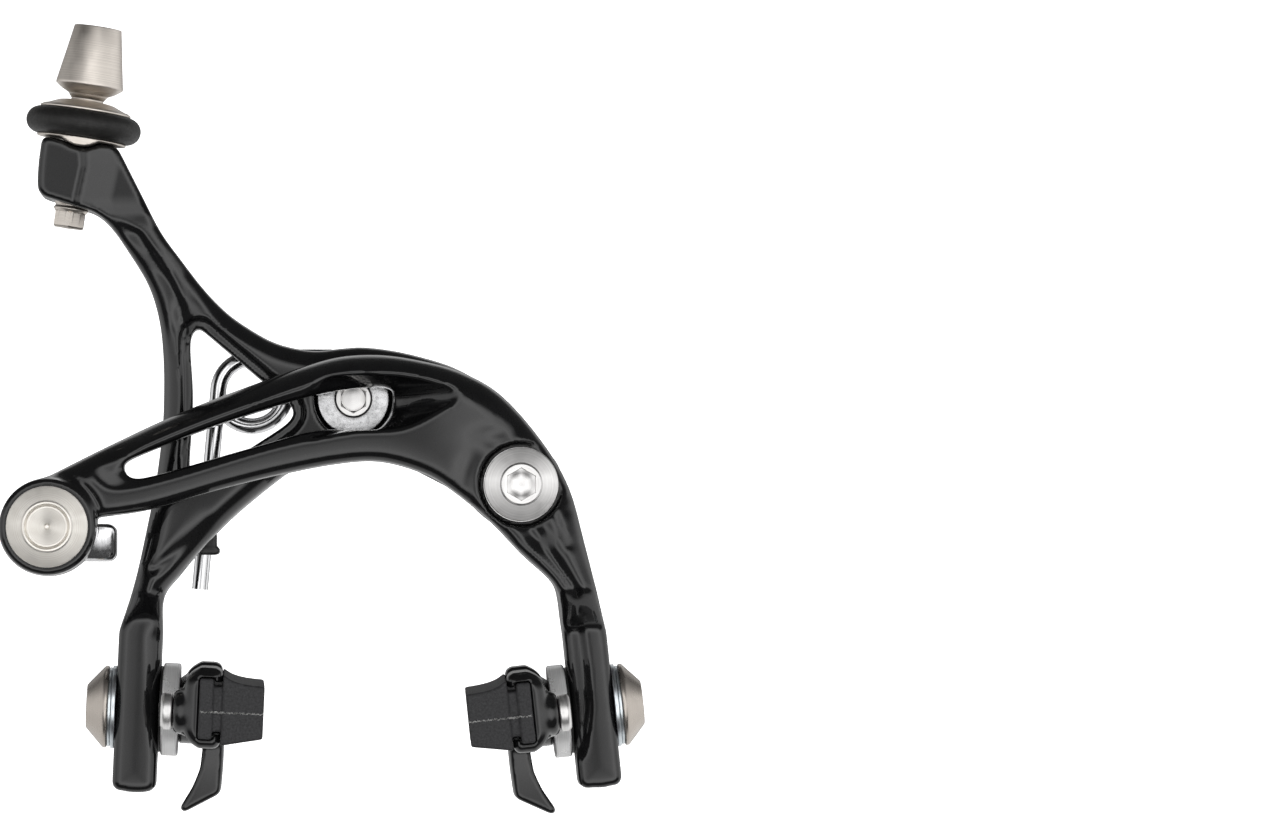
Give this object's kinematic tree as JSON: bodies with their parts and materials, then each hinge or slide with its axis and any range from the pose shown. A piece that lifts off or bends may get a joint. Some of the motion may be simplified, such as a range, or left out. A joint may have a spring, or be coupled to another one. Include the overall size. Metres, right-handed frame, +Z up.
{
  "type": "rim brake caliper",
  "caption": "Dual-pivot bicycle rim brake caliper: two black arms on a centre bolt and a side pivot, with cable adjuster, return spring and slotted pad holders.",
  "frame": {"origin": "axis of the mounting bolt at the face that meets the bicycle frame", "axes": "+Y into the frame along the mounting bolt, +Z up, +X to the right seen from in front of the caliper"},
  "size_m": [0.1076, 0.058, 0.1322],
  "materials": {
    "gloss_black_paint": "gloss",
    "dark_anodised": "satin",
    "silver_steel": "polished",
    "chrome_wire": "polished",
    "titanium": "brushed",
    "plated_steel": "satin",
    "machined_aluminium": "machined",
    "bronze": "satin",
    "black_rubber": "matte",
    "black_plastic": "matte"
  },
  "bodies": {
    "mount": {"mounting_bolt": "silver_steel", "rear_spacer": "machined_aluminium", "pivot_bracket": "dark_anodised", "hub_thrust_washer": "plated_steel", "centre_washer": "plated_steel", "centre_nut": "silver_steel", "side_pivot_bolt": "silver_steel", "side_pivot_washer": "silver_steel", "side_thrust_washer": "plated_steel", "return_spring": "chrome_wire"},
    "y_arm": {"y_arm": "gloss_black_paint", "hub_bush": "bronze", "centring_screw": "silver_steel", "spring_seat": "black_plastic", "adjuster_seat": "titanium"},
    "adjuster_wheel": {"adjuster_wheel": "titanium", "adjuster_grip_ring": "black_rubber"},
    "adjuster_bolt": {"adjuster_bolt": "titanium"},
    "c_arm": {"c_arm": "gloss_black_paint", "side_bush": "bronze", "link_pin": "silver_steel", "link_roller": "silver_steel", "anchor_bolt": "titanium", "anchor_washer": "silver_steel", "anchor_nut": "silver_steel"},
    "quick_release": {"quick_release_lever": "chrome_wire"},
    "left_clamp": {"left_pad_seat": "black_plastic", "left_inner_washer": "machined_aluminium", "left_outer_washer": "plated_steel", "left_lock_washer": "plated_steel", "left_pad_nut": "titanium"},
    "left_shoe": {"left_pad_holder": "gloss_black_paint", "left_brake_pad": "black_rubber", "left_pad_screw": "silver_steel", "left_pad_stud": "silver_steel"},
    "right_clamp": {"right_pad_seat": "black_plastic", "right_inner_washer": "machined_aluminium", "right_outer_washer": "plated_steel", "right_lock_washer": "plated_steel", "right_pad_nut": "titanium"},
    "right_shoe": {"right_pad_holder": "gloss_black_paint", "right_brake_pad": "black_rubber", "right_pad_screw": "silver_steel", "right_pad_stud": "silver_steel"}
  },
  "joints": [
    {"name": "y_arm_pivot", "type": "hinge", "parent": "mount", "child": "y_arm", "pos_m": [0, -0.0135, 0], "axis": [0, -1, 0], "range_deg": [0, 7], "stiffness_Nm_per_rad": 1, "springref_deg": -28.65, "deforming": ["return_spring"]},
    {"name": "c_arm_pivot", "type": "hinge", "parent": "mount", "child": "c_arm", "pos_m": [0.0278, -0.0235, -0.0144], "axis": [0, 1, 0], "range_deg": [0, 9.8]},
    {"name": "adjuster_turn", "type": "hinge", "parent": "y_arm", "child": "adjuster_wheel", "pos_m": [-0.04516, -0.014, 0.04581], "axis": [0.1461, 0, 0.9893], "range_deg": [-320, 2160]},
    {"name": "adjuster_travel", "type": "slide", "parent": "y_arm", "child": "adjuster_bolt", "axis": [0.1461, 0, 0.9893], "range_m": [-0.00088, 0.006]},
    {"name": "quick_release_turn", "type": "hinge", "parent": "c_arm", "child": "quick_release", "pos_m": [-0.0506, -0.0148, -0.0215], "axis": [0, -1, 0], "range_deg": [0, 75]},
    {"name": "left_pad_height", "type": "slide", "parent": "y_arm", "child": "left_clamp", "axis": [0.0436, 0, 0.999], "range_m": [-0.005, 0.005]},
    {"name": "left_pad_tilt", "type": "hinge", "parent": "left_clamp", "child": "left_shoe", "pos_m": [-0.0359, -0.015, -0.0516], "axis": [0.999, 0, -0.0436], "range_deg": [-10, 10]},
    {"name": "right_pad_height", "type": "slide", "parent": "c_arm", "child": "right_clamp", "axis": [-0.1045, 0, 0.9945], "range_m": [-0.005, 0.005]},
    {"name": "right_pad_tilt", "type": "hinge", "parent": "right_clamp", "child": "right_shoe", "pos_m": [0.03995, -0.015, -0.0516], "axis": [-0.9945, 0, -0.1045], "range_deg": [-10, 10]}
  ],
  "couplings": [
    {"joint": "c_arm_pivot", "follows": "y_arm_pivot", "ratio": 1.4},
    {"joint": "adjuster_turn", "follows": "adjuster_travel", "rad_per_m": 6283.2}
  ]
}
